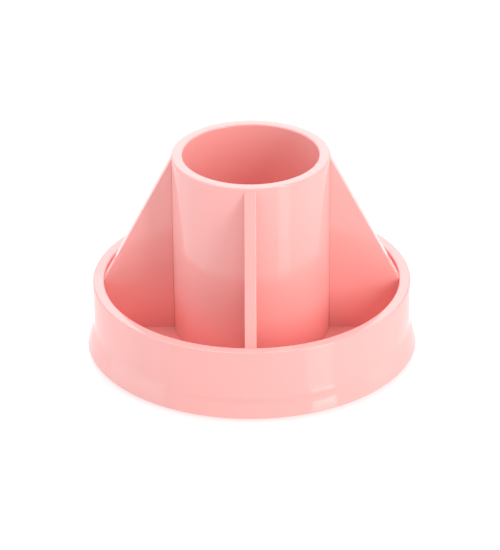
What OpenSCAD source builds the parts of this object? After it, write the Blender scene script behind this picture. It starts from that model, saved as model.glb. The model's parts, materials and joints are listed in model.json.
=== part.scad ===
// Round carousel caddy: a divided tray with a centre cup, turning on a low ball-race base.
// The part stands on its rubber feet at z = 0, and turns about the Z axis. Millimetres.

/* [Overall] */
// Diameter over the flared foot of the skirt
body_d = 150; // [130:1:180]
// Height of the cup's rim above the table
overall_h = 94.2; // [80:0.1:115]
// Height of the tray's rim above the table
wall_h = 32.5; // [27:0.1:40]

/* [Tray] */
// Thickness of the tray's wall
wall_t = 5.1; // [3.5:0.1:6.5]
// Thickness of the tray's floor
floor_t = 2.8; // [2.6:0.1:4]
// Distance that the flared foot stands out from the straight wall
flare_w = 3; // [2:0.1:4]
// Height of the flare above the skirt's lower edge
flare_h = 12; // [9:0.5:15]
// Radius of the hollow sweep from the wall into the flare
flare_r = 14; // [8:0.5:20]
// Height of the skirt's lower edge above the table
skirt_gap = 1.2; // [0.8:0.1:2]
// Thickness of the skirt at its lower edge
skirt_t = 4; // [3:0.1:5]
// Radius that rounds the edges of the rims
edge_r = 1.2; // [0.6:0.1:1.6]
// Radius of the fillets inside the tray and the cup
fillet_r = 0.8; // [0.5:0.1:3]

/* [Cup] */
// Outside diameter of the cup
cup_d = 71; // [60:0.1:86]
// Thickness of the cup's wall
cup_wall_t = 5; // [3.5:0.1:6]
// Thickness of the cup's floor
cup_floor_t = 2.6; // [2:0.1:4]
// Height of the screw bosses under the cup's floor
boss_h = 4.2; // [3.8:0.1:8]

/* [Dividers] */
// Thickness of a divider
divider_t = 5.1; // [3.4:0.1:6.2]
// Drop from the cup's rim to the top of a divider
divider_drop = 1.3; // [1.2:0.1:5]
// Thickness of the tongue on a divider's inner edge
tongue_t = 2; // [1.6:0.1:2.8]
// Depth of the tongue
tongue_w = 1.8; // [1.2:0.1:2.4]
// Diameter of the pegs under a divider
peg_d = 2.4; // [2:0.1:3]
// Length of the pegs
peg_l = 1.1; // [0.8:0.1:1.4]

/* [Turntable] */
// Thickness of the base disc
disc_t = 2.6; // [2.4:0.1:4]
// Gap between the base disc and the tray's floor
race_gap = 1; // [0.9:0.1:1.4]
// Diameter of a bearing ball
ball_d = 3.175; // [2.5:0.005:3.5]
// Number of bearing balls
ball_count = 20; // [12:1:24]
// Radius of the circle that the balls run on
race_r = 42; // [38:0.5:46]
// Width of the ball cage
cage_w = 7; // [6:0.5:9]
// Thickness of the ball cage
cage_t = 0.6; // [0.5:0.05:0.7]
// Diameter of the spigot that turns in the base disc
spigot_d = 16; // [14:0.5:20]
// Diameter of the retaining washer
washer_d = 24; // [22:0.5:30]
// Thickness of the retaining washer
washer_t = 0.9; // [0.8:0.05:1]

/* [Feet] */
// Diameter of a foot
foot_d = 12; // [8:0.5:14.5]
// Height that a foot stands proud of the base disc
foot_proud = 1.4; // [1.4:0.1:2]
// Depth that a foot is let into the base disc
foot_inset = 0.8; // [0.5:0.1:1]

/* [Screws] */
// Shank diameter of the pivot screw
pivot_shank_d = 3.5; // [3:0.1:4.2]
// Head diameter of the pivot screw
pivot_head_d = 7; // [6:0.1:8.4]
// Length of the pivot screw under its head
pivot_l = 8.5; // [7:0.5:9]
// Shank diameter of a cup screw
cup_screw_d = 2.9; // [2.5:0.1:3.3]
// Length of a cup screw over its head
cup_screw_l = 8; // [7:0.1:8.4]

/* [Clearances] */
// Radial running clearance of the spigot in the base disc
running_c = 0.05; // [0.03:0.01:0.1]
// Clearance of a ball in its groove and its pocket
ball_c = 0.1; // [0.08:0.01:0.15]
// Clearance round a tongue in its groove, and of the cup on its centring ring
slide_c = 0.1; // [0.05:0.01:0.2]
// Axial play between the retaining washer and the base disc
axial_c = 0.1; // [0.05:0.01:0.2]
// Gap from the base disc's edge to the inside of the tray's wall
disc_c = 5; // [3:0.5:8]

/* [Hidden] */
$fn = 96;

DIVIDERS = ["divider_right", "divider_rear", "divider_left", "divider_front"];
FEET = ["foot_rear_right", "foot_rear_left", "foot_front_left", "foot_front_right"];

pink = "#f4a9a6";
pale_pink = "#f0b6b2";
steel = "#c9ccd0";
nylon = "#efece2";
rubber = "#5c5a5c";

// How far joined solids run into each other, and how far a cut runs past a face.
eps = 0.01;
cut = 1;

body_r = body_d / 2;
tray_r = body_r - flare_w;
tray_in_r = tray_r - wall_t;
cup_r = cup_d / 2;
cup_in_r = cup_r - cup_wall_t;

// Dividers stand on the axes, and the feet and cup screws stand midway between them.
divider_count = len(DIVIDERS);
foot_count = len(FEET);
cup_screw_count = divider_count;
between_a = 180 / divider_count;

// Heights of the stack, from the table up.
disc_z = foot_proud;
disc_top_z = disc_z + disc_t;
ball_z = disc_top_z + race_gap / 2;
floor_z = disc_top_z + race_gap;
floor_top_z = floor_z + floor_t;
cup_floor_z = floor_top_z + boss_h;
cup_floor_top_z = cup_floor_z + cup_floor_t;

// The flare sweeps out from the wall and runs down a straight flank to the foot's rounded edge.
// A circle that touches the wall and ends at the foot has the largest radius the sweep can take.
foot_edge_r = 0.3;
flare_top_z = skirt_gap + flare_h;
flare_span = flare_h - foot_edge_r;
sweep_r = min(flare_r, (flare_w * flare_w + flare_span * flare_span) / (2 * flare_w));
// Angle of the flank from the vertical, from (r - w) cos a + span sin a = r.
flank_a = atan2(flare_span, sweep_r - flare_w) - acos(sweep_r / norm([sweep_r - flare_w, flare_span]));
skirt_draft = 2.6;

// Groove and pocket that a ball runs in.
groove_r = ball_d / 2 + ball_c;
ball_start_a = 180 / ball_count;

// The ring on the tray's floor that centres the cup, and the screw bosses inside it.
centring_w = 3;
centring_h = 2.6;
centring_r = cup_in_r - slide_c;
boss_r = 3.4;
boss_gap = 1.6;
boss_pos_r = centring_r - centring_w - boss_gap - boss_r;

// Cup screws: the cone of the head is 45 degrees, and the drive is [across, slot, depth].
cup_head_d = 2 * cup_screw_d;
cup_head_h = (cup_head_d - cup_screw_d) / 2;
cup_point_l = 1;
cup_drive = [2.9, 0.7, 0.7];
screw_hole_c = 0.15;
tip_gap = 0.4;

// Pivot: the spigot under the tray's floor, the washer on its end and the screw in its pilot hole.
recess_depth = disc_t / 2 - axial_c;
recess_z = disc_z + recess_depth;
recess_c = 0.4;
washer_top_z = recess_z - axial_c;
washer_z = washer_top_z - washer_t;
washer_hole_c = 0.1;
pivot_head_h = 1.1;
pivot_head_edge = 0.5;
pivot_point_l = 1.2;
pivot_drive = [3.5, 0.9, 0.55];
pivot_tip_z = washer_z + pivot_l;
pivot_boss_r = 5.5;
pivot_skin = 0.9;
pivot_boss_z = pivot_tip_z + tip_gap + pivot_skin;

// Dividers: a peg near each end, and a tongue in a groove that stops short of the cup's rim.
peg_r = peg_d / 2;
peg_inset = 5;
peg_c = 0.03;
peg_hole_gap = 0.1;
face_c = 0.05;
tongue_foot = 1;
tongue_end = 2.2;
groove_top_z = overall_h - divider_drop - tongue_end + slide_c;
tongue_z = floor_top_z + tongue_foot;
tongue_top_z = groove_top_z - 2 * slide_c;

foot_r = foot_d / 2;
foot_edge = 0.5;
foot_margin = 2;
foot_c = 0.1;
disc_r = tray_in_r - disc_c;
disc_lip = 0.6;
foot_pos_r = disc_r - foot_r - foot_margin;

// Points on an arc about c, from angle a0 to a1 in degrees.
function arc(c, r, a0, a1, steps = 8) =
    [for (i = [0:steps]) c + r * [cos(a0 + (a1 - a0) * i / steps), sin(a0 + (a1 - a0) * i / steps)]];

// Copies its children about the Z axis, the first one at `first` degrees.
module around(count, first = 0) {
    for (i = [0:count - 1]) rotate([0, 0, first + i * 360 / count]) children();
}

// A ring with a square section.
module ring(r_in, r_out, h) {
    difference() {
        cylinder(r = r_out, h = h);
        translate([0, 0, -eps]) cylinder(r = r_in, h = h + 2 * eps);
    }
}

// The two places of a divider's pegs, along its own X axis.
module at_pegs() {
    for (x = [cup_r + peg_inset, tray_in_r - peg_inset]) translate([x, 0, floor_top_z]) children();
}

// A fillet in the corner between the floor at z and the wall at r, on the wall's inner side.
module corner_fillet(r, z) {
    rotate_extrude()
        polygon(concat(
            [[r + eps, z - eps], [r + eps, z + fillet_r]],
            arc([r - fillet_r, z + fillet_r], fillet_r, 0, -90),
            [[r - fillet_r, z - eps]]
        ));
}

// A groove of round section that the balls run in.
module ball_groove() {
    translate([0, 0, ball_z]) rotate_extrude() translate([race_r, 0]) circle(r = groove_r);
}

// A cross recess, [across, slot, depth], sunk upward into a head whose face is at z = 0.
module cross_recess(drive) {
    for (a = [0, 90]) rotate([0, 0, a])
        translate([-drive[0] / 2, -drive[1] / 2, -cut]) cube([drive[0], drive[1], drive[2] + cut]);
}

// Section of the wall and skirt: rounded rim, straight wall, hollow sweep, flank and foot edge.
module wall_section() {
    polygon(concat(
        [[tray_in_r, floor_z]],
        arc([tray_in_r + edge_r, wall_h - edge_r], edge_r, 180, 90),
        arc([tray_r - edge_r, wall_h - edge_r], edge_r, 90, 0),
        arc([tray_r + sweep_r, flare_top_z], sweep_r, 180, 180 + flank_a),
        arc([body_r - foot_edge_r, skirt_gap + foot_edge_r], foot_edge_r, 0, -90),
        [[body_r - skirt_t, skirt_gap], [body_r - skirt_t - skirt_draft, floor_z]]
    ));
}

// A clearance hole through the tray's floor, countersunk from below.
module cup_screw_hole() {
    hole_d = cup_screw_d + 2 * screw_hole_c;
    translate([0, 0, floor_z - eps]) {
        cylinder(d = hole_d, h = floor_t + 2 * eps);
        cylinder(d1 = cup_head_d + 2 * screw_hole_c, d2 = hole_d, h = cup_head_h + eps);
    }
}

module tray() {
    color(pink) difference() {
        union() {
            rotate_extrude() wall_section();
            translate([0, 0, floor_z]) cylinder(r = tray_in_r + eps, h = floor_t);
            corner_fillet(tray_in_r, floor_top_z);
            translate([0, 0, floor_top_z - eps])
                ring(centring_r - centring_w, centring_r, centring_h + eps);
            translate([0, 0, washer_top_z]) cylinder(d = spigot_d, h = floor_z - washer_top_z + eps);
            translate([0, 0, floor_top_z - eps])
                cylinder(r = pivot_boss_r, h = pivot_boss_z - floor_top_z + eps);
        }
        ball_groove();
        translate([0, 0, washer_top_z - eps])
            cylinder(d = pivot_shank_d, h = pivot_tip_z + tip_gap - washer_top_z + eps);
        around(cup_screw_count, between_a) translate([boss_pos_r, 0, 0]) cup_screw_hole();
        around(divider_count) at_pegs() translate([0, 0, -peg_l - peg_hole_gap])
            cylinder(r = peg_r + peg_c, h = peg_l + peg_hole_gap + eps);
    }
}

// Section of the cup's tube, with both edges of its rim rounded.
module tube_section() {
    polygon(concat(
        [[cup_in_r, floor_top_z]],
        arc([cup_in_r + edge_r, overall_h - edge_r], edge_r, 180, 90),
        arc([cup_r - edge_r, overall_h - edge_r], edge_r, 90, 0),
        [[cup_r, floor_top_z]]
    ));
}

module centre_cup() {
    groove_w = tongue_t + 2 * slide_c;
    groove_d = tongue_w + slide_c;
    color(pink) difference() {
        union() {
            rotate_extrude() tube_section();
            translate([0, 0, cup_floor_z]) cylinder(r = cup_in_r + eps, h = cup_floor_t);
            corner_fillet(cup_in_r, cup_floor_top_z);
            around(cup_screw_count, between_a) translate([boss_pos_r, 0, floor_top_z])
                cylinder(r = boss_r, h = boss_h + eps);
        }
        around(divider_count) translate([cup_r - groove_d, -groove_w / 2, floor_top_z - eps])
            cube([groove_d + cut, groove_w, groove_top_z - floor_top_z + eps]);
        around(cup_screw_count, between_a) translate([boss_pos_r, 0, floor_top_z - eps])
            cylinder(d = cup_screw_d, h = cup_screw_l + floor_z - floor_top_z + tip_gap + eps);
    }
}

// Outline of a divider in its own plane, from the centre line out to the tray's wall.
module divider_outline() {
    polygon([
        [0, floor_top_z],
        [tray_in_r - fillet_r, floor_top_z],
        [tray_in_r, floor_top_z + fillet_r],
        [tray_in_r, wall_h],
        [cup_r, overall_h - divider_drop],
        [0, overall_h - divider_drop]
    ]);
}

// A plate that stands on edge, its outline drawn outward and up, centred on the X axis.
module plate(t) {
    rotate([90, 0, 0]) translate([0, 0, -t / 2]) linear_extrude(height = t) children();
}

module divider() {
    color(pink) {
        difference() {
            intersection() {
                plate(divider_t) divider_outline();
                cylinder(r = tray_in_r - face_c, h = overall_h);
            }
            cylinder(r = cup_r + face_c, h = overall_h + cut);
        }
        translate([cup_r - tongue_w, -tongue_t / 2, tongue_z])
            cube([tongue_w + cut, tongue_t, tongue_top_z - tongue_z]);
        at_pegs() translate([0, 0, -peg_l]) cylinder(r = peg_r, h = peg_l + cut);
    }
}

module base_disc() {
    color(pale_pink) difference() {
        rotate_extrude() polygon([
            [spigot_d / 2 + running_c, disc_z],
            [disc_r - disc_lip, disc_z],
            [disc_r, disc_z + disc_lip],
            [disc_r, disc_top_z - disc_lip],
            [disc_r - disc_lip, disc_top_z],
            [spigot_d / 2 + running_c, disc_top_z]
        ]);
        ball_groove();
        translate([0, 0, disc_z - cut])
            cylinder(r = washer_d / 2 + recess_c, h = recess_depth + cut);
        around(foot_count, between_a) translate([foot_pos_r, 0, disc_z - cut])
            cylinder(r = foot_r + foot_c, h = foot_inset + cut);
    }
}

module ball_cage() {
    color(nylon) translate([0, 0, ball_z - cage_t / 2]) difference() {
        ring(race_r - cage_w / 2, race_r + cage_w / 2, cage_t);
        around(ball_count, ball_start_a) translate([race_r, 0, -cut])
            cylinder(r = groove_r, h = cage_t + 2 * cut);
    }
}

module bearing_balls() {
    color(steel) around(ball_count, ball_start_a) translate([race_r, 0, ball_z]) sphere(d = ball_d);
}

// A rubber foot with a broken lower edge.
module foot() {
    h = foot_proud + foot_inset;
    color(rubber) rotate_extrude() polygon([
        [0, 0],
        [foot_r - foot_edge, 0],
        [foot_r, foot_edge],
        [foot_r, h],
        [0, h]
    ]);
}

module retaining_washer() {
    color(steel) translate([0, 0, washer_z])
        ring(pivot_shank_d / 2 + washer_hole_c, washer_d / 2, washer_t);
}

// Low pan head below, shank and blunt point above.
module pivot_screw() {
    head_r = pivot_head_d / 2;
    shank_r = pivot_shank_d / 2;
    color(steel) translate([0, 0, washer_z]) difference() {
        rotate_extrude() polygon([
            [0, -pivot_head_h],
            [head_r - pivot_head_edge, -pivot_head_h],
            [head_r, pivot_head_edge - pivot_head_h],
            [head_r, 0],
            [shank_r, 0],
            [shank_r, pivot_l - pivot_point_l],
            [shank_r / 2, pivot_l],
            [0, pivot_l]
        ]);
        translate([0, 0, -pivot_head_h]) cross_recess(pivot_drive);
    }
}

// Countersunk screws, heads flush with the underside of the tray's floor.
module cup_screws() {
    shank_r = cup_screw_d / 2;
    color(steel) around(cup_screw_count, between_a) translate([boss_pos_r, 0, floor_z]) difference() {
        rotate_extrude() polygon([
            [0, 0],
            [cup_head_d / 2, 0],
            [shank_r, cup_head_h],
            [shank_r, cup_screw_l - cup_point_l],
            [shank_r / 2, cup_screw_l],
            [0, cup_screw_l]
        ]);
        cross_recess(cup_drive);
    }
}

base_disc();
tray();
centre_cup();
ball_cage();
bearing_balls();
for (i = [0:divider_count - 1])
    rotate([0, 0, i * 360 / divider_count]) divider();
for (i = [0:foot_count - 1])
    rotate([0, 0, between_a + i * 360 / foot_count]) translate([foot_pos_r, 0, 0]) foot();
retaining_washer();
pivot_screw();
cup_screws();
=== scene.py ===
"""Looks of a round carousel caddy: its tray, cup, dividers, turning base and studio."""

import json
import math

import bmesh
import bpy
from bpy.props import FloatProperty, FloatVectorProperty, IntProperty, PointerProperty
from mathutils import Matrix, Vector


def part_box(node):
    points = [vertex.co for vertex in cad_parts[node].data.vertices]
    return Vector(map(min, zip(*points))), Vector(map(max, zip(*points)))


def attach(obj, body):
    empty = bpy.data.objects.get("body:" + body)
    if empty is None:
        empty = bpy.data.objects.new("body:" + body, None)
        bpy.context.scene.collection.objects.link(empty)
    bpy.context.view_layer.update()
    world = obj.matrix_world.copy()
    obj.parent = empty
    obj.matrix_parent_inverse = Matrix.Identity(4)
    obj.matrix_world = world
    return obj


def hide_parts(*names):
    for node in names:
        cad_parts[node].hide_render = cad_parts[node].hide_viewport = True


bl_info = {
    "name": "Round Carousel Caddy",
    "version": (1, 0, 0),
    "blender": (4, 5, 0),
    "location": "View3D > Sidebar > Caddy",
    "description": "Builds a divided caddy that turns on a low ball-race base",
    "category": "Object",
}

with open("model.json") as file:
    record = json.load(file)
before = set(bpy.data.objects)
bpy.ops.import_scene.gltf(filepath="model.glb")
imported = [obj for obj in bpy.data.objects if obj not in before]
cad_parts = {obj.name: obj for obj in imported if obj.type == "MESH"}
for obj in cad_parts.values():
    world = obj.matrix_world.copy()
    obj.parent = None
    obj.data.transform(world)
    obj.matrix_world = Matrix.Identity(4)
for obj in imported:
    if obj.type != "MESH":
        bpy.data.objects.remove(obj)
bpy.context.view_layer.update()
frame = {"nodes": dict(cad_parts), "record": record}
BOXES = {node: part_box(node) for node in frame["nodes"]}

DIVIDERS = {"divider_right": 0, "divider_rear": 90, "divider_left": 180, "divider_front": 270}
FEET = ("foot_rear_right", "foot_rear_left", "foot_front_left", "foot_front_right")
BETWEEN = (45, 135, 225, 315)
MM = 0.001

# How far a cut or a joined shape runs past the face that it meets.
REACH = 1 * MM
# Over the pivot screw: the clearance at its tip, and the plastic that closes it.
PIVOT_TIP_GAP = 0.4 * MM
PIVOT_ROOF = 0.9 * MM
# Cup screws: their hole, its countersink, the boss's pilot hole and the clearance at the tip.
SCREW_HOLE = 1.6 * MM
SINK_RADIUS = 3.2 * MM
SINK_DEPTH = 1.5 * MM
SINK_REACH = 0.1 * MM
SCREW_PILOT = 1.45 * MM
SCREW_TIP_GAP = 0.4 * MM
# How far a screw boss runs up into the cup's floor.
BOSS_ROOT = 0.5 * MM
# Holes for the dividers' pegs: the clearance round a peg, and the hole's depth.
PEG_GAP = 0.03 * MM
PEG_HOLE_DEPTH = 1.2 * MM
# Ejector marks under the tray's floor.
MARKS = 8
MARK_CIRCLE = 56 * MM
MARK_RADIUS = 2.5 * MM
MARK_DEPTH = 0.08 * MM
# Base disc: its rounded edge, and the clearances of its bore, its washer recess and its feet.
DISC_EDGE = 0.6 * MM
BORE_GAP = 0.05 * MM
WASHER_GAP = 0.4 * MM
WASHER_ROOF = 0.1 * MM
FOOT_GAP = 0.1 * MM
# Dish under a foot: its depth, and its flat and its edge as shares of the foot's radius.
DISH_DEPTH = 0.15 * MM
DISH_FLAT = 0.3
DISH_EDGE = 0.34
# Faces round a peg and round a foot, and the angle that leaves an edge sharp.
PEG_STEPS = 48
FOOT_STEPS = 96
SHARP_ANGLE = math.radians(28)
# A point of a section that is closer to the axis than this, in metres, is on it.
ON_AXIS = 1e-9

# Azimuth (0 on the camera's side, 90 at +X), elevation, width and height in metres, and colour.
SOFTBOXES = {
    "key": (48, 20, (0.3, 0.6), "white"),
    "overhead": (180, 79, (0.66, 0.64), "warm"),
    "rear": (180, 27, (0.6, 0.36), "cool"),
    "left": (-84, 12, (0.9, 0.44), "cool"),
    "upper_left": (-62, 38, (0.5, 0.6), "white"),
    "right": (95, 8, (0.4, 0.34), "cool"),
}
# Every light's distance from the point that it faces, and that point's height, in metres.
LIGHT_DISTANCE = 1.0
LIGHT_AIM = 0.04
# Floor: half its width and its drop below the feet, in metres, and its two greys.
FLOOR_HALF = 6
FLOOR_DROP = 0.1 * MM
FLOOR_GREYS = (0.44, 0.46)
# Camera: its sensor's width in millimetres, and its nearest distance in metres.
SENSOR = 36
CLIP_START = 0.05


def low(node):
    """The lowest corner of a CAD node, in metres."""
    return BOXES[node][0]


def high(node):
    """The highest corner of a CAD node, in metres."""
    return BOXES[node][1]


def mount_radius(name):
    """The radius of a round mount, in metres."""
    mount = next(m for m in frame["record"]["mounts"] if m["name"] == name)
    return mount["dims"]["r_mm"] * MM


def length(name, description, default):
    """A size in metres."""
    return FloatProperty(
        name=name, description=description, default=default, unit="LENGTH", precision=5
    )


def angle(name, description, degrees):
    """An angle, from its default in degrees."""
    return FloatProperty(
        name=name, description=description, default=math.radians(degrees), subtype="ANGLE"
    )


def number(name, description, default):
    """A plain number, such as the strength of a light."""
    return FloatProperty(name=name, description=description, default=default)


def paint(name, description, default):
    """A colour in linear light."""
    return FloatVectorProperty(
        name=name, description=description, default=default, subtype="COLOR", size=3, min=0, max=1
    )


class CaddySizes(bpy.types.PropertyGroup):
    wall: length("Tray wall", "Thickness of the tray's wall", 5.1 * MM)
    fillet: length("Inner fillet", "Fillet between a floor and its wall", 0.8 * MM)
    rim_round: length("Rim rounding", "Radius that rounds the rims' edges", 0.7 * MM)
    flare: length("Flare width", "How far the foot stands out from the wall", 3 * MM)
    flare_height: length("Flare height", "Height of the flare over the skirt's edge", 12 * MM)
    sweep: length("Flare sweep", "Radius of the hollow sweep into the flare", 14 * MM)
    foot_edge: length("Foot edge", "Radius of the skirt's lower outer edge", 0.3 * MM)
    skirt: length("Skirt thickness", "Thickness of the skirt at its lower edge", 4 * MM)
    skirt_draft: length("Skirt draft", "How far the skirt's inner face leans in", 2.6 * MM)
    race_gap: length("Race gap", "Gap from the base disc to the tray's floor", 1 * MM)
    race: length("Race radius", "Radius of the circle that the balls run on", 42 * MM)
    groove: length("Groove radius", "Radius of the ball groove's section", 1.6875 * MM)
    spigot: length("Spigot radius", "Radius of the spigot under the tray", 8 * MM)
    ring: length("Centring ring", "Width of the ring that centres the cup", 3 * MM)
    ring_height: length("Ring height", "Height of the ring over the floor", 2.6 * MM)
    slide: length("Slide clearance", "Clearance of fits that slide", 0.1 * MM)
    face: length("Face clearance", "Clearance of a divider's curved ends", 0.05 * MM)
    cup_floor: length("Cup floor", "Thickness of the cup's floor", 2.6 * MM)
    boss_height: length("Boss height", "Height of the bosses under the cup's floor", 4.2 * MM)
    boss: length("Boss radius", "Radius of a screw boss", 3.4 * MM)
    boss_gap: length("Boss gap", "Gap from a boss to the centring ring", 1.6 * MM)
    pivot_boss: length("Pivot boss radius", "Radius of the boss over the pivot screw", 5.5 * MM)
    tongue: length("Tongue thickness", "Thickness of a divider's tongue", 2 * MM)
    tongue_depth: length("Tongue depth", "Depth of a divider's tongue", 1.8 * MM)
    tongue_end: length("Tongue end", "Drop from a divider's top to its groove's end", 2.2 * MM)
    peg: length("Peg radius", "Radius of the pegs under a divider", 1.2 * MM)
    peg_inset: length("Peg inset", "Distance of a peg from the divider's end", 5 * MM)
    divider_round: length("Divider rounding", "Radius that rounds a divider's top edge", 0.4 * MM)
    foot_inset: length("Foot inset", "Depth that a foot is let into the base disc", 0.8 * MM)
    foot_round: length("Foot rounding", "Radius that rounds a foot's lower edge", 0.5 * MM)
    steps: IntProperty(
        name="Steps round", description="Faces round each turned piece", default=288
    )
    arc_steps: IntProperty(
        name="Steps in an arc", description="Faces in a rounded edge", default=10
    )


class CaddyFinishes(bpy.types.PropertyGroup):
    gloss: paint("Gloss pink", "Colour of the glossy plastic", (0.985, 0.46, 0.44))
    satin: paint("Satin pink", "Colour of the base disc's plastic", (0.84, 0.46, 0.43))
    steel: paint("Steel", "Colour of the bright zinc plate", (0.62, 0.64, 0.67))
    nylon: paint("Nylon", "Colour of the ball cage", (0.84, 0.82, 0.74))
    rubber: paint("Rubber", "Colour of the feet", (0.11, 0.105, 0.11))


class CaddyStage(bpy.types.PropertyGroup):
    distance: length("Camera distance", "From the camera to its target", 1.513)
    target: length("Target height", "Height that the camera looks at", 0.03305)
    elevation: angle("Elevation", "Camera's height angle", 27.87)
    azimuth: angle("Azimuth", "Camera's turn towards +X", 0.58)
    roll: angle("Roll", "Camera's tilt about its own axis", -0.45)
    lens: number("Lens", "Focal length, in millimetres", 218.16)
    aside: number("Shift", "Sideways shift of the picture", -0.003)
    world: number("World", "Strength of the light all round", 0.5)
    key: number("Key", "Brightness of the tall front light", 8.0)
    overhead: number("Overhead", "Brightness of the top light", 5.7)
    rear: number("Rear", "Brightness of the light behind", 1.9)
    left: number("Left", "Brightness of the low left light", 1.9)
    upper_left: number("Upper left", "Brightness of the high left light", 1.0)
    right: number("Right", "Brightness of the low right light", 1.2)
    white: paint("White light", "Colour of the front and high left lights", (1.0, 1.0, 0.95))
    warm: paint("Warm light", "Colour of the top light", (1.0, 0.72, 0.74))
    cool: paint("Cool light", "Colour of the rear and low lights", (0.58, 0.96, 1.0))
    glow: number("Floor glow", "Light that the floor gives", 0.58)


class Wire:
    """A shader socket in Python expressions: each operator adds its Math node."""

    def __init__(self, finish, socket):
        self.finish = finish
        self.socket = socket

    def _math(self, operation, first, second):
        return self.finish.node("ShaderNodeMath", {"operation": operation}, {0: first, 1: second})

    def __add__(self, other):
        return self._math("ADD", self, other)

    def __radd__(self, other):
        return self._math("ADD", other, self)

    def __sub__(self, other):
        return self._math("SUBTRACT", self, other)

    def __rsub__(self, other):
        return self._math("SUBTRACT", other, self)

    def __mul__(self, other):
        return self._math("MULTIPLY", self, other)

    def __rmul__(self, other):
        return self._math("MULTIPLY", other, self)


class Finish:
    """One material: its shader, and the nodes that feed it."""

    def __init__(self, name, **constants):
        self.material = bpy.data.materials.new(name)
        self.material.use_nodes = True
        self.nodes = self.material.node_tree.nodes
        self.links = self.material.node_tree.links
        self.shader = next(n for n in self.nodes if n.type == "BSDF_PRINCIPLED")
        for socket, value in constants.items():
            self.shader.inputs[socket.replace("_", " ")].default_value = value
        self.place = self.node("ShaderNodeTexCoord", {}, {}, "Object")

    def node(self, kind, settings, sockets, out=0):
        """Adds a node with its settings, then the values or links of its sockets."""
        made = self.nodes.new(kind)
        for setting, value in settings.items():
            setattr(made, setting, value)
        for key, value in sockets.items():
            self.feed(self.find(made.inputs, key), value)
        return Wire(self, self.find(made.outputs, out))

    def find(self, sockets, key):
        """A socket by its place, identifier or name."""
        if isinstance(key, int):
            return sockets[key]
        return next(s for s in sockets if key in (s.identifier, s.name))

    def feed(self, socket, value):
        """Links a wire to a socket, or sets the socket's value."""
        if isinstance(value, Wire):
            self.links.new(value.socket, socket)
        else:
            socket.default_value = value

    def noise(self, size, detail=2.0, stretch=(1, 1, 1)):
        """Noise whose patches are about `size` metres across."""
        along = self.node(
            "ShaderNodeVectorMath", {"operation": "MULTIPLY"}, {0: self.place, 1: stretch}
        )
        return self.node(
            "ShaderNodeTexNoise", {}, {"Vector": along, "Scale": 1 / size, "Detail": detail}, "Fac"
        )

    def part(self, wire, start, end):
        """How far a value has gone from start to end, from 0 to 1."""
        return self.node(
            "ShaderNodeMapRange",
            {"clamp": True},
            {"Value": wire, "From Min": start, "From Max": end},
        )

    def blend(self, factor, first, second):
        """A colour between two colours."""
        return self.node(
            "ShaderNodeMix",
            {"data_type": "RGBA"},
            {"Factor_Float": factor, "A_Color": first, "B_Color": second},
            "Result_Color",
        )

    def bump(self, height, depth, onto=None):
        """A normal for a height of 0 to 1 that is `depth` metres deep."""
        sockets = {"Height": height, "Distance": depth, "Strength": 1.0}
        if onto is not None:
            sockets["Normal"] = onto
        return self.node("ShaderNodeBump", {}, sockets, "Normal")

    def wear(self, **sockets):
        """Links values to the shader's own sockets."""
        for socket, value in sockets.items():
            self.feed(self.shader.inputs[socket.replace("_", " ")], value)
        return self.material


def shade(colour, gain):
    """A colour made lighter or darker, with an alpha of 1."""
    return (*(min(1.0, c * gain) for c in colour), 1.0)


def gloss_pink(finishes):
    """High-gloss moulded plastic: flow clouds, a faint orange peel, smears and fine scuffs."""
    finish = Finish("gloss_pink_plastic", IOR=1.5)
    clouds = finish.noise(0.045, 3) * 0.6 + finish.noise(0.009, 2, (1, 1, 0.25)) * 0.4
    colour = finish.blend(clouds, shade(finishes.gloss, 0.975), shade(finishes.gloss, 1.02))
    smears = finish.part(finish.noise(0.018, 4), 0.5, 0.72)
    scuffs = finish.part(finish.noise(0.0011, 5, (1, 1, 0.15)), 0.62, 0.8)
    roughness = 0.035 + smears * 0.02 + scuffs * 0.03
    peel = finish.bump(finish.noise(0.0032, 2), 1.6e-6)
    grain = finish.bump(finish.noise(0.00035, 1), 0.25e-6, peel)
    return finish.wear(Base_Color=colour, Roughness=roughness, Normal=grain)


def satin_pink(finishes):
    """Spark-eroded plastic: an even fine grain with flow clouds and rub marks."""
    finish = Finish("satin_pink_plastic", IOR=1.5)
    clouds = finish.noise(0.03, 3)
    colour = finish.blend(clouds, shade(finishes.satin, 0.95), shade(finishes.satin, 1.03))
    rubs = finish.part(finish.noise(0.006, 4), 0.52, 0.7)
    grain = finish.bump(finish.noise(0.0004, 3), 9e-6)
    return finish.wear(Base_Color=colour, Roughness=0.42 - rubs * 0.1, Normal=grain)


def bright_steel(finishes):
    """Zinc-plated steel: drawn lines, cloudy plating and dull spots."""
    finish = Finish("bright_zinc_steel", Metallic=1.0)
    plating = finish.noise(0.004, 4)
    colour = finish.blend(plating, shade(finishes.steel, 0.9), shade(finishes.steel, 1.08))
    dull = finish.part(finish.noise(0.0012, 4), 0.55, 0.75)
    lines = finish.bump(finish.noise(0.0003, 2, (6, 1, 1)), 1.2e-6)
    return finish.wear(Base_Color=colour, Roughness=0.22 + dull * 0.18, Normal=lines)


def natural_nylon(finishes):
    """Unfilled nylon: waxy, slightly cloudy, with a soft pebble."""
    finish = Finish("natural_nylon", IOR=1.53)
    clouds = finish.noise(0.006, 3)
    colour = finish.blend(clouds, shade(finishes.nylon, 0.94), shade(finishes.nylon, 1.03))
    pebble = finish.bump(finish.noise(0.0008, 2), 5e-6)
    return finish.wear(Base_Color=colour, Roughness=0.36 + clouds * 0.1, Normal=pebble)


def grey_rubber(finishes):
    """Moulded rubber: a dry bloom over a fine matt grain."""
    finish = Finish("grey_rubber", IOR=1.52)
    bloom = finish.part(finish.noise(0.003, 4), 0.45, 0.75)
    colour = finish.blend(bloom, shade(finishes.rubber, 0.85), shade(finishes.rubber, 1.6))
    grain = finish.bump(finish.noise(0.0003, 3), 14e-6)
    return finish.wear(Base_Color=colour, Roughness=0.72 + bloom * 0.15, Normal=grain)


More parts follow.
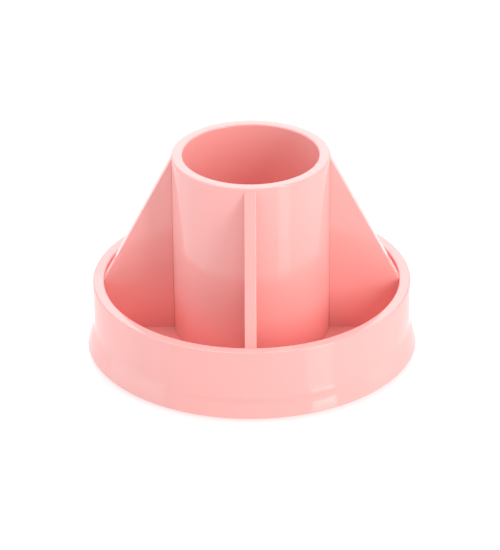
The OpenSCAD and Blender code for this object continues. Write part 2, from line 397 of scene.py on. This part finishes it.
MADE_FINISHES = {}


def finish_named(maker, scene):
    """A finish by its function, made once."""
    name = maker.__name__
    if name not in MADE_FINISHES:
        MADE_FINISHES[name] = maker(scene.caddy_finishes)
    return MADE_FINISHES[name]


def arc(across, up, radius, start, end, steps):
    """Points of an arc about (across, up), from start to end in degrees, both ends included."""
    turns = [math.radians(start + (end - start) * i / steps) for i in range(steps + 1)]
    return [(across + radius * math.cos(t), up + radius * math.sin(t)) for t in turns]


def flank_angle(out, drop, radius):
    """Angle from the vertical, in degrees, of the flank that follows a sweep."""
    reach = math.hypot(radius - out, drop)
    return math.degrees(math.atan2(drop, radius - out) - math.acos(radius / reach))


def rounded_rim(inner, outer, top, radius, steps):
    """A rim from its inner to its outer side, with both edges rounded."""
    first = arc(inner + radius, top - radius, radius, 180, 90, steps)
    return first + arc(outer - radius, top - radius, radius, 90, 0, steps)


def turned(name, section, steps):
    """A solid of revolution. The section runs from the axis to the axis, or is a closed ring."""
    shape = bmesh.new()
    rings = []
    for across, up in section:
        if across < ON_AXIS:
            rings.append([shape.verts.new((0, 0, up))])
            continue
        turns = [2 * math.pi * i / steps for i in range(steps)]
        places = [(across * math.cos(t), across * math.sin(t), up) for t in turns]
        rings.append([shape.verts.new(place) for place in places])
    pairs = list(zip(rings, rings[1:]))
    if len(rings[0]) > 1:
        pairs.append((rings[-1], rings[0]))
    for first, second in pairs:
        for i in range(steps):
            j = (i + 1) % steps
            corners = [first[i % len(first)], first[j % len(first)]]
            corners += [second[j % len(second)], second[i % len(second)]]
            shape.faces.new(list(dict.fromkeys(corners)))
    bmesh.ops.recalc_face_normals(shape, faces=shape.faces)
    return as_object(name, shape)


def as_object(name, shape):
    """Turns a bmesh into an object in the scene."""
    mesh = bpy.data.meshes.new(name)
    shape.to_mesh(mesh)
    shape.free()
    made = bpy.data.objects.new(name, mesh)
    bpy.context.scene.collection.objects.link(made)
    return made


def peg(shape, place, radius, bottom, top, top_radius=None, steps=PEG_STEPS):
    """Adds an upright round peg, or a cone, to a bmesh, with no corner on a radial line it cuts."""
    half_step = Matrix.Rotation(math.pi / steps, 4, "Z")
    where = Matrix.Translation((place[0], place[1], (bottom + top) / 2)) @ half_step
    bmesh.ops.create_cone(
        shape, cap_ends=True, segments=steps, radius1=radius,
        radius2=radius if top_radius is None else top_radius, depth=top - bottom, matrix=where,
    )


def block(shape, corner, opposite, turn=0):
    """Adds a box between two corners, turned about the Z axis by `turn` degrees, to a bmesh."""
    low_corner = Vector(corner)
    high_corner = Vector(opposite)
    size = Matrix.Diagonal((*(high_corner - low_corner), 1))
    where = Matrix.Translation((low_corner + high_corner) / 2)
    about = Matrix.Rotation(math.radians(turn), 4, "Z")
    bmesh.ops.create_cube(shape, size=1, matrix=about @ where @ size)


def around(radius, turn):
    """A place on a circle about the Z axis."""
    return radius * math.cos(math.radians(turn)), radius * math.sin(math.radians(turn))


def outward(azimuth, elevation):
    """The direction from the caddy to a light or the camera, from angles in radians."""
    level = math.cos(elevation)
    return Vector((level * math.sin(azimuth), -level * math.cos(azimuth), math.sin(elevation)))


def carve(piece, operation, shape):
    """Joins a bmesh to a piece, or cuts it out, and keeps the result as the piece's own mesh."""
    tool = as_object("tool", shape)
    step = piece.modifiers.new("carve", "BOOLEAN")
    step.operation = operation
    step.solver = "EXACT"
    step.object = tool
    view = bpy.context.evaluated_depsgraph_get()
    result = bpy.data.meshes.new_from_object(piece.evaluated_get(view))
    piece.modifiers.clear()
    piece.data = result
    bpy.data.objects.remove(tool)
    if not result.polygons:
        raise RuntimeError(f"{piece.name} came out empty")


def dress(piece, node, body, material):
    """Smooths a finished piece, gives it its material, and puts it in its CAD node's place."""
    mesh = piece.data
    mesh.materials.clear()
    mesh.materials.append(material)
    mesh.polygons.foreach_set("use_smooth", [True] * len(mesh.polygons))
    mesh.set_sharp_from_angle(angle=SHARP_ANGLE)
    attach(piece, body)
    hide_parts(node)


def coat(node, material):
    """Gives a carried-over CAD node its material."""
    carried = frame["nodes"][node]
    carried.data.materials.clear()
    carried.data.materials.append(material)


def boss_circle(sizes):
    """Radius of the circle that the cup's screws stand on."""
    ring_outside = mount_radius("cup_bore") - sizes.slide
    return ring_outside - sizes.ring - sizes.boss_gap - sizes.boss


def shank_radius(node):
    """Radius of a screw's shank, from the points above its head."""
    cad = frame["nodes"][node].data.vertices
    middle = (low(node).z + high(node).z) / 2
    return max(math.hypot(v.co.x, v.co.y) for v in cad if v.co.z > middle)


class CADDY_OT_tray(bpy.types.Operator):
    """Turn the tray: floor, wall, flared skirt, ball groove and spigot"""

    bl_idname = "caddy.tray"
    bl_label = "Tray"

    def execute(self, context):
        sizes = context.scene.caddy_sizes
        steps = sizes.arc_steps
        rim = high("tray").z
        body = high("tray").x
        outer = body - sizes.flare
        inner = outer - sizes.wall
        edge = low("tray").z
        floor = low("centre_cup").z
        under = high("base_disc").z + sizes.race_gap
        ring = mount_radius("cup_bore") - sizes.slide
        flank = flank_angle(sizes.flare, sizes.flare_height - sizes.foot_edge, sizes.sweep)
        ball = high("base_disc").z + sizes.race_gap / 2
        half = math.degrees(math.asin((under - ball) / sizes.groove))
        shank = high("pivot_screw").z
        spigot_end = high("retaining_washer").z
        pilot = (shank_radius("pivot_screw"), shank + PIVOT_TIP_GAP)
        boss_top = pilot[1] + PIVOT_ROOF
        section = [(0, boss_top), (sizes.pivot_boss, boss_top), (sizes.pivot_boss, floor)]
        section += [(ring - sizes.ring, floor), (ring - sizes.ring, floor + sizes.ring_height)]
        section += [(ring, floor + sizes.ring_height), (ring, floor)]
        section += arc(inner - sizes.fillet, floor + sizes.fillet, sizes.fillet, -90, 0, steps)
        section += rounded_rim(inner, outer, rim, sizes.rim_round, steps)
        sweep_at = (outer + sizes.sweep, edge + sizes.flare_height)
        section += arc(*sweep_at, sizes.sweep, 180, 180 + flank, steps)
        edge_at = (body - sizes.foot_edge, edge + sizes.foot_edge)
        section += arc(*edge_at, sizes.foot_edge, 0, -90, steps)
        section += [(body - sizes.skirt, edge), (body - sizes.skirt - sizes.skirt_draft, under)]
        section += arc(sizes.race, ball, sizes.groove, half, 180 - half, 2 * steps)
        section += [(sizes.spigot, under), (sizes.spigot, spigot_end), (pilot[0], spigot_end)]
        section += [pilot, (0, pilot[1])]
        tray = turned("tray_moulding", section, sizes.steps)
        cuts = bmesh.new()
        for turn in BETWEEN:
            hole = around(boss_circle(sizes), turn)
            peg(cuts, hole, SCREW_HOLE, under - REACH, floor + REACH)
            peg(cuts, hole, SINK_RADIUS, under - SINK_REACH, under + SINK_DEPTH, SCREW_HOLE)
        for turn in DIVIDERS.values():
            for across in (high("centre_cup").x + sizes.peg_inset, inner - sizes.peg_inset):
                hole = around(across, turn)
                peg(cuts, hole, sizes.peg + PEG_GAP, floor - PEG_HOLE_DEPTH, floor + REACH)
        for i in range(MARKS):
            mark = around(MARK_CIRCLE, (i + 0.5) * 360 / MARKS)
            peg(cuts, mark, MARK_RADIUS, under - REACH, under + MARK_DEPTH)
        carve(tray, "DIFFERENCE", cuts)
        dress(tray, "tray", "carousel", finish_named(gloss_pink, context.scene))
        return {"FINISHED"}


class CADDY_OT_cup(bpy.types.Operator):
    """Turn the centre cup: tube, floor, screw bosses and the dividers' grooves"""

    bl_idname = "caddy.cup"
    bl_label = "Centre cup"

    def execute(self, context):
        sizes = context.scene.caddy_sizes
        steps = sizes.arc_steps
        outer = high("centre_cup").x
        inner = mount_radius("cup_bore")
        rim = high("centre_cup").z
        foot = low("centre_cup").z
        under = foot + sizes.boss_height
        floor = under + sizes.cup_floor
        section = [(0, under), (inner, under), (inner, foot), (outer, foot)]
        section += rounded_rim(inner, outer, rim, sizes.rim_round, steps)[::-1]
        section += arc(inner - sizes.fillet, floor + sizes.fillet, sizes.fillet, 0, -90, steps)
        section += [(0, floor)]
        cup = turned("centre_cup_moulding", section, sizes.steps)
        bosses = bmesh.new()
        for turn in BETWEEN:
            peg(bosses, around(boss_circle(sizes), turn), sizes.boss, foot, under + BOSS_ROOT)
        carve(cup, "UNION", bosses)
        cuts = bmesh.new()
        width = sizes.tongue / 2 + sizes.slide
        groove_top = high("divider_front").z - sizes.tongue_end + sizes.slide
        for turn in DIVIDERS.values():
            corner = (outer - sizes.tongue_depth - sizes.slide, -width, foot - REACH)
            block(cuts, corner, (outer + REACH, width, groove_top), turn)
        tip = high("cup_screws").z + SCREW_TIP_GAP
        for turn in BETWEEN:
            peg(cuts, around(boss_circle(sizes), turn), SCREW_PILOT, foot - REACH, tip)
        carve(cup, "DIFFERENCE", cuts)
        dress(cup, "centre_cup", "carousel", finish_named(gloss_pink, context.scene))
        return {"FINISHED"}


def divider_slice(sizes, aside):
    """A divider's outline, (across, up), where it is cut `aside` metres from its middle plane."""
    thick = high("divider_right").y
    cup = high("centre_cup").x
    wall = high("tray").x - sizes.flare - sizes.wall
    floor = low("centre_cup").z
    into = max(0.0, abs(aside) - (thick - sizes.divider_round))
    drop = sizes.divider_round - math.sqrt(max(0.0, sizes.divider_round ** 2 - into ** 2))
    start = math.sqrt((cup + sizes.face) ** 2 - aside ** 2)
    end = math.sqrt((wall - sizes.face) ** 2 - aside ** 2)
    top = high("divider_right").z
    rise = (high("tray").z - top) / (wall - cup)
    lower = drop * math.hypot(1, rise)
    corner = arc(end - sizes.fillet, floor + sizes.fillet, sizes.fillet, -90, 0, sizes.arc_steps)

    def slope(across):
        return top + rise * (across - cup) - lower

    return [(start, floor), *corner, (end, slope(end)), (start, slope(start))]


class CADDY_OT_dividers(bpy.types.Operator):
    """Make the four dividers, each with its tongue and pegs"""

    bl_idname = "caddy.dividers"
    bl_label = "Dividers"

    def execute(self, context):
        sizes = context.scene.caddy_sizes
        thick = high("divider_right").y
        flat = thick - sizes.divider_round
        edge = [flat + sizes.divider_round * math.sin(math.radians(90 * i / sizes.arc_steps))
                for i in range(sizes.arc_steps + 1)]
        asides = [-a for a in reversed(edge)] + edge
        for node, turn in DIVIDERS.items():
            shape = bmesh.new()
            slices = [[shape.verts.new((x, aside, z)) for x, z in divider_slice(sizes, aside)]
                      for aside in asides]
            for first, second in zip(slices, slices[1:]):
                for i in range(len(first)):
                    j = (i + 1) % len(first)
                    shape.faces.new((first[i], first[j], second[j], second[i]))
            shape.faces.new(slices[0])
            shape.faces.new(slices[-1][::-1])
            bmesh.ops.recalc_face_normals(shape, faces=shape.faces)
            divider = as_object(node + "_panel", shape)
            self.add_tongue(divider, sizes)
            divider.data.transform(Matrix.Rotation(math.radians(turn), 4, "Z"))
            dress(divider, node, "carousel", finish_named(gloss_pink, context.scene))
        return {"FINISHED"}

    def add_tongue(self, divider, sizes):
        """Joins the tongue and the two pegs to a divider that lies along +X."""
        cup = high("centre_cup").x
        wall = high("tray").x - sizes.flare - sizes.wall
        floor = low("centre_cup").z
        tongue_top = high("divider_right").z - sizes.tongue_end - sizes.slide
        extra = bmesh.new()
        block(extra, (cup - sizes.tongue_depth, -sizes.tongue / 2, floor + REACH),
              (cup + REACH, sizes.tongue / 2, tongue_top))
        for across in (cup + sizes.peg_inset, wall - sizes.peg_inset):
            peg(extra, (across, 0), sizes.peg, low("divider_right").z, floor + REACH)
        carve(divider, "UNION", extra)


class CADDY_OT_base(bpy.types.Operator):
    """Turn the base disc and its rubber feet"""

    bl_idname = "caddy.base"
    bl_label = "Base disc and feet"

    def execute(self, context):
        sizes = context.scene.caddy_sizes
        self.make_disc(context, sizes)
        for node in FEET:
            self.make_foot(context, sizes, node)
        return {"FINISHED"}

    def make_disc(self, context, sizes):
        """Turns the disc with its groove and washer recess, and lets the feet into it."""
        bottom, top = low("base_disc").z, high("base_disc").z
        outside = high("base_disc").x
        edge = DISC_EDGE
        bore = sizes.spigot + BORE_GAP
        ball = top + sizes.race_gap / 2
        half = math.degrees(math.asin((ball - top) / sizes.groove))
        recess = high("retaining_washer").x + WASHER_GAP
        recess_top = high("retaining_washer").z + WASHER_ROOF
        section = [(bore, recess_top), (recess, recess_top), (recess, bottom)]
        section += arc(outside - edge, bottom + edge, edge, -90, 0, sizes.arc_steps)
        section += arc(outside - edge, top - edge, edge, 0, 90, sizes.arc_steps)
        section += arc(sizes.race, ball, sizes.groove, -half, half - 180, 2 * sizes.arc_steps)
        section += [(bore, top)]
        disc = turned("base_disc_moulding", section, sizes.steps)
        cuts = bmesh.new()
        for node in FEET:
            middle = (low(node) + high(node)) / 2
            radius = (high(node).x - low(node).x) / 2 + FOOT_GAP
            peg(cuts, middle, radius, bottom - REACH, bottom + sizes.foot_inset, steps=FOOT_STEPS)
        carve(disc, "DIFFERENCE", cuts)
        dress(disc, "base_disc", "base", finish_named(satin_pink, context.scene))

    def make_foot(self, context, sizes, node):
        """Turns a foot with a shallow dish underneath."""
        bottom, top = low(node).z, high(node).z
        middle = (low(node) + high(node)) / 2
        radius = (high(node).x - low(node).x) / 2
        dish = bottom + DISH_DEPTH
        section = [(0, dish), (radius * DISH_FLAT, dish), (radius * DISH_EDGE, bottom)]
        edge = sizes.foot_round
        section += arc(radius - edge, bottom + edge, edge, -90, 0, sizes.arc_steps)
        section += [(radius, top), (0, top)]
        foot = turned(node + "_pad", section, FOOT_STEPS)
        foot.data.transform(Matrix.Translation((middle.x, middle.y, 0)))
        dress(foot, node, "base", finish_named(grey_rubber, context.scene))


class CADDY_OT_hardware(bpy.types.Operator):
    """Give the ball cage, balls, washer and screws their finishes"""

    bl_idname = "caddy.hardware"
    bl_label = "Race and screws"

    def execute(self, context):
        coat("ball_cage", finish_named(natural_nylon, context.scene))
        for node in ("bearing_balls", "retaining_washer", "pivot_screw", "cup_screws"):
            coat(node, finish_named(bright_steel, context.scene))
        return {"FINISHED"}


class CADDY_OT_stage(bpy.types.Operator):
    """Set up the floor, the lights and the camera"""

    bl_idname = "caddy.stage"
    bl_label = "Stage"

    def execute(self, context):
        stage = context.scene.caddy_stage
        context.scene.view_settings.view_transform = "Standard"
        self.make_floor(stage)
        self.make_camera(context, stage)
        world = bpy.data.worlds.new("studio")
        context.scene.world = world
        world.use_nodes = True
        background = world.node_tree.nodes["Background"]
        background.inputs["Color"].default_value = (1, 1, 1, 1)
        background.inputs["Strength"].default_value = stage.world
        for name in SOFTBOXES:
            self.make_light(stage, name)
        return {"FINISHED"}

    def make_floor(self, stage):
        """Lays a pale, glossy floor that gives a little light."""
        shape = bmesh.new()
        bmesh.ops.create_grid(shape, x_segments=1, y_segments=1, size=FLOOR_HALF)
        floor = as_object("studio_floor", shape)
        floor.location.z = -FLOOR_DROP
        finish = Finish("white_acrylic", IOR=1.5)
        finish.shader.inputs["Emission Color"].default_value = (1, 1, 1, 1)
        finish.shader.inputs["Emission Strength"].default_value = stage.glow
        dark, light = ((grey, grey, grey, 1) for grey in FLOOR_GREYS)
        tone = finish.blend(finish.noise(0.4), dark, light)
        floor.data.materials.append(finish.wear(Base_Color=tone, Roughness=0.08))

    def make_camera(self, context, stage):
        """Sets the camera on its place about the Z axis, looking at the target."""
        lens = bpy.data.cameras.new("camera")
        lens.sensor_width = SENSOR
        lens.lens = stage.lens
        lens.shift_x = stage.aside
        lens.clip_start = CLIP_START
        camera = bpy.data.objects.new("camera", lens)
        context.scene.collection.objects.link(camera)
        back = outward(stage.azimuth, stage.elevation)
        camera.location = Vector((0, 0, stage.target)) + back * stage.distance
        facing = (-back).to_track_quat("-Z", "Y").to_matrix()
        camera.rotation_euler = (facing @ Matrix.Rotation(stage.roll, 3, "Z")).to_euler()
        context.scene.camera = camera

    def make_light(self, stage, name):
        """A softbox that faces the object and isn't seen itself."""
        azimuth, elevation, size, tone = SOFTBOXES[name]
        panel = bpy.data.lights.new(name + "_softbox", "AREA")
        panel.color = getattr(stage, tone)
        panel.shape = "RECTANGLE"
        panel.size, panel.size_y = size
        panel.energy = getattr(stage, name) * math.pi * size[0] * size[1]
        light = bpy.data.objects.new(panel.name, panel)
        light.visible_camera = False
        bpy.context.scene.collection.objects.link(light)
        out = outward(math.radians(azimuth), math.radians(elevation))
        light.location = Vector((0, 0, LIGHT_AIM)) + out * LIGHT_DISTANCE
        light.rotation_euler = out.to_track_quat("Z", "Y").to_euler()


class CADDY_PT_panel(bpy.types.Panel):
    """Lists the caddy's pieces and stage"""

    bl_idname = "CADDY_PT_panel"
    bl_label = "Caddy"
    bl_space_type = "VIEW_3D"
    bl_region_type = "UI"
    bl_category = "Caddy"

    def draw(self, context):
        for operator in OPERATORS:
            self.layout.operator(operator.bl_idname)
        for group in ("caddy_sizes", "caddy_finishes", "caddy_stage"):
            column = self.layout.column()
            values = getattr(context.scene, group)
            for name in values.bl_rna.properties.keys():
                if name not in ("rna_type", "name"):
                    column.prop(values, name)


GROUPS = {"caddy_sizes": CaddySizes, "caddy_finishes": CaddyFinishes, "caddy_stage": CaddyStage}
OPERATORS = (
    CADDY_OT_stage,
    CADDY_OT_tray,
    CADDY_OT_cup,
    CADDY_OT_dividers,
    CADDY_OT_base,
    CADDY_OT_hardware,
)


def register():
    """Registers the sizes, finishes, operators and panel."""
    for group in GROUPS.values():
        bpy.utils.register_class(group)
    for name, group in GROUPS.items():
        setattr(bpy.types.Scene, name, PointerProperty(type=group))
    for operator in OPERATORS:
        bpy.utils.register_class(operator)
    bpy.utils.register_class(CADDY_PT_panel)


def unregister():
    """Takes away all that register added."""
    bpy.utils.unregister_class(CADDY_PT_panel)
    for operator in reversed(OPERATORS):
        bpy.utils.unregister_class(operator)
    for name, group in GROUPS.items():
        delattr(bpy.types.Scene, name)
        bpy.utils.unregister_class(group)


def main():
    """Builds the caddy and its stage."""
    register()
    bpy.ops.caddy.stage()
    bpy.ops.caddy.tray()
    bpy.ops.caddy.cup()
    bpy.ops.caddy.dividers()
    bpy.ops.caddy.base()
    bpy.ops.caddy.hardware()


if __name__ == "__main__":
    main()
